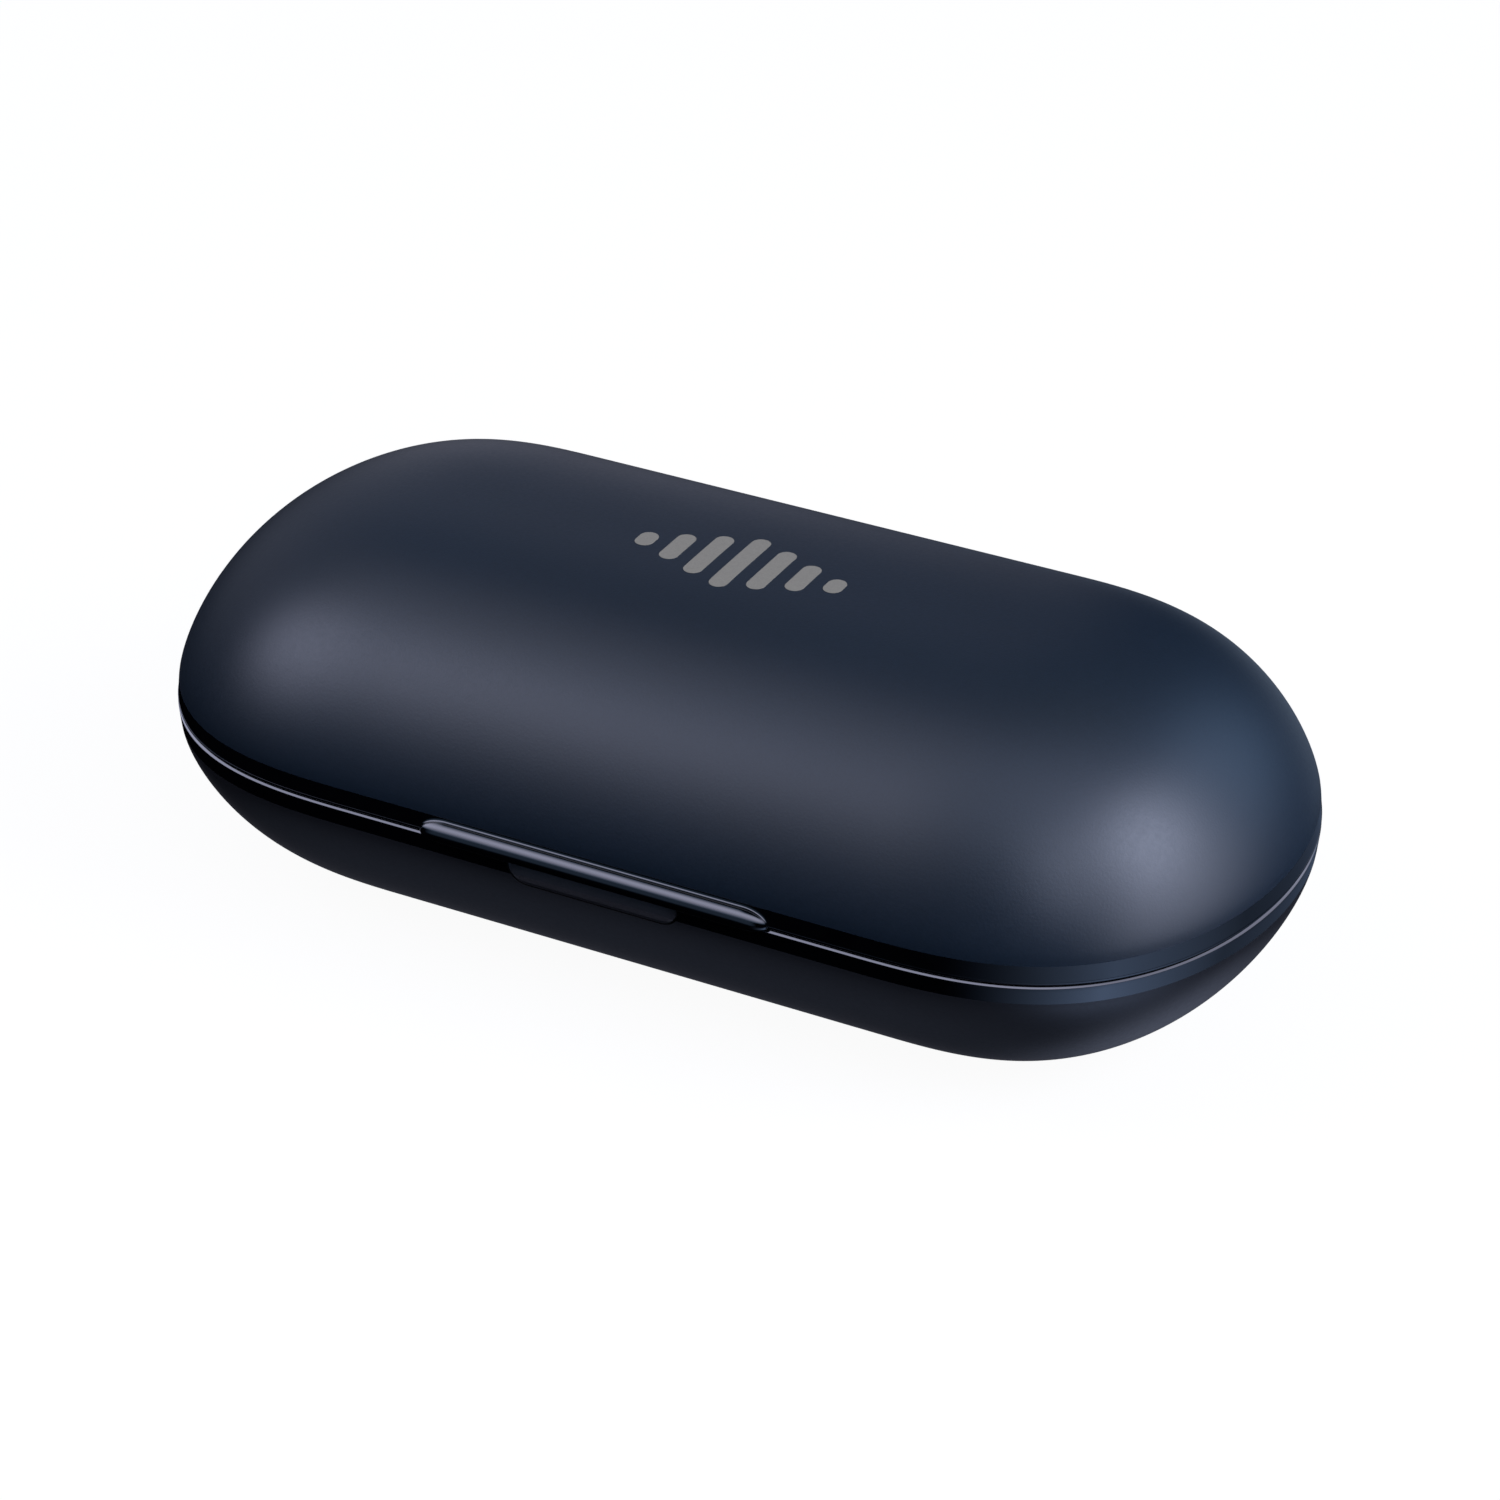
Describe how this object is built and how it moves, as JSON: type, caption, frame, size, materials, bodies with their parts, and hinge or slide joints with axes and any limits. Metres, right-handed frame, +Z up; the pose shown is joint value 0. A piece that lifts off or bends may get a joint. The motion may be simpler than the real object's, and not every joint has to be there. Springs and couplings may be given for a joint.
{
  "type": "wireless earbuds case",
  "caption": "Pill-shaped clamshell charging case for wireless earbuds: domed satin shells, polished rims, front finger lip, hinged lid and sprung charging contacts.",
  "frame": {"origin": "centre of the flat the case stands on, midway along its length", "axes": "+X along the length to the right seen from the finger lip, +Y from the lip to the hinge, +Z up"},
  "size_m": [0.0788, 0.0424, 0.0255],
  "materials": {
    "satin_navy": "satin pearlescent lacquer on moulded plastic",
    "gloss_navy": "high gloss",
    "matt_black": "fine moulded texture",
    "steel": "bright drawn or stamped steel",
    "contact_gold": "gold-plated brass",
    "magnet_nickel": "nickel plating",
    "board_green": "solder mask on glass laminate",
    "chip_black": "matt epoxy",
    "battery_foil": "crinkled laminated foil",
    "foam": "open-cell foam",
    "amber_film": "polyimide film over copper",
    "frosted_clear": "frosted light guide",
    "white_plastic": "moulded",
    "wire_red": "silicone sleeve",
    "wire_black": "silicone sleeve"
  },
  "bodies": {
    "base": {"base_magnet_left": "magnet_nickel", "base_magnet_right": "magnet_nickel", "base_rim": "gloss_navy", "base_shell": "satin_navy", "battery_cell": "battery_foil", "battery_connector": "white_plastic", "battery_lead_black": "wire_black", "battery_lead_red": "wire_red", "battery_pad": "foam", "board_screw_1": "steel", "board_screw_2": "steel", "board_screw_3": "steel", "board_screw_4": "steel", "charge_controller": "chip_black", "charge_led_1": "white_plastic", "charge_led_2": "white_plastic", "charge_led_3": "white_plastic", "contact_barrel_left_front": "contact_gold", "contact_barrel_left_rear": "contact_gold", "contact_barrel_right_front": "contact_gold", "contact_barrel_right_rear": "contact_gold", "contact_board_left": "board_green", "contact_board_right": "board_green", "contact_ribbon_left": "amber_film", "contact_ribbon_right": "amber_film", "contact_spring_left_front": "steel", "contact_spring_left_rear": "steel", "contact_spring_right_front": "steel", "contact_spring_right_rear": "steel", "cradle_tray": "matt_black", "earbud_magnet_left": "magnet_nickel", "earbud_magnet_right": "magnet_nickel", "hinge_pin": "steel", "lid_sensor": "chip_black", "light_pipe": "frosted_clear", "main_board": "board_green", "microcontroller": "chip_black", "power_inductor": "chip_black", "usb_socket_shell": "steel", "usb_socket_tongue": "matt_black"},
    "lid": {"lid_liner": "matt_black", "lid_magnet_left": "magnet_nickel", "lid_magnet_right": "magnet_nickel", "lid_rim": "gloss_navy", "lid_sense_magnet": "magnet_nickel", "lid_shell": "satin_navy"},
    "plunger_left_front": {"contact_plunger_left_front": "contact_gold"},
    "plunger_left_rear": {"contact_plunger_left_rear": "contact_gold"},
    "plunger_right_front": {"contact_plunger_right_front": "contact_gold"},
    "plunger_right_rear": {"contact_plunger_right_rear": "contact_gold"}
  },
  "joints": [
    {"name": "lid_hinge", "type": "hinge", "parent": "base", "child": "lid", "pos_m": [0, 0.0201, 0.01225], "axis": [-1, 0, 0], "range_deg": [0, 105]},
    {"name": "plunger_slide_left_front", "type": "slide", "parent": "base", "child": "plunger_left_front", "axis": [0, 0, -1], "range_m": [0, 0.0005], "stiffness_N_per_m": 600, "springref_m": -0.0005, "deforming": ["contact_spring_left_front"]},
    {"name": "plunger_slide_left_rear", "type": "slide", "parent": "base", "child": "plunger_left_rear", "axis": [0, 0, -1], "range_m": [0, 0.0005], "stiffness_N_per_m": 600, "springref_m": -0.0005, "deforming": ["contact_spring_left_rear"]},
    {"name": "plunger_slide_right_front", "type": "slide", "parent": "base", "child": "plunger_right_front", "axis": [0, 0, -1], "range_m": [0, 0.0005], "stiffness_N_per_m": 600, "springref_m": -0.0005, "deforming": ["contact_spring_right_front"]},
    {"name": "plunger_slide_right_rear", "type": "slide", "parent": "base", "child": "plunger_right_rear", "axis": [0, 0, -1], "range_m": [0, 0.0005], "stiffness_N_per_m": 600, "springref_m": -0.0005, "deforming": ["contact_spring_right_rear"]}
  ]
}
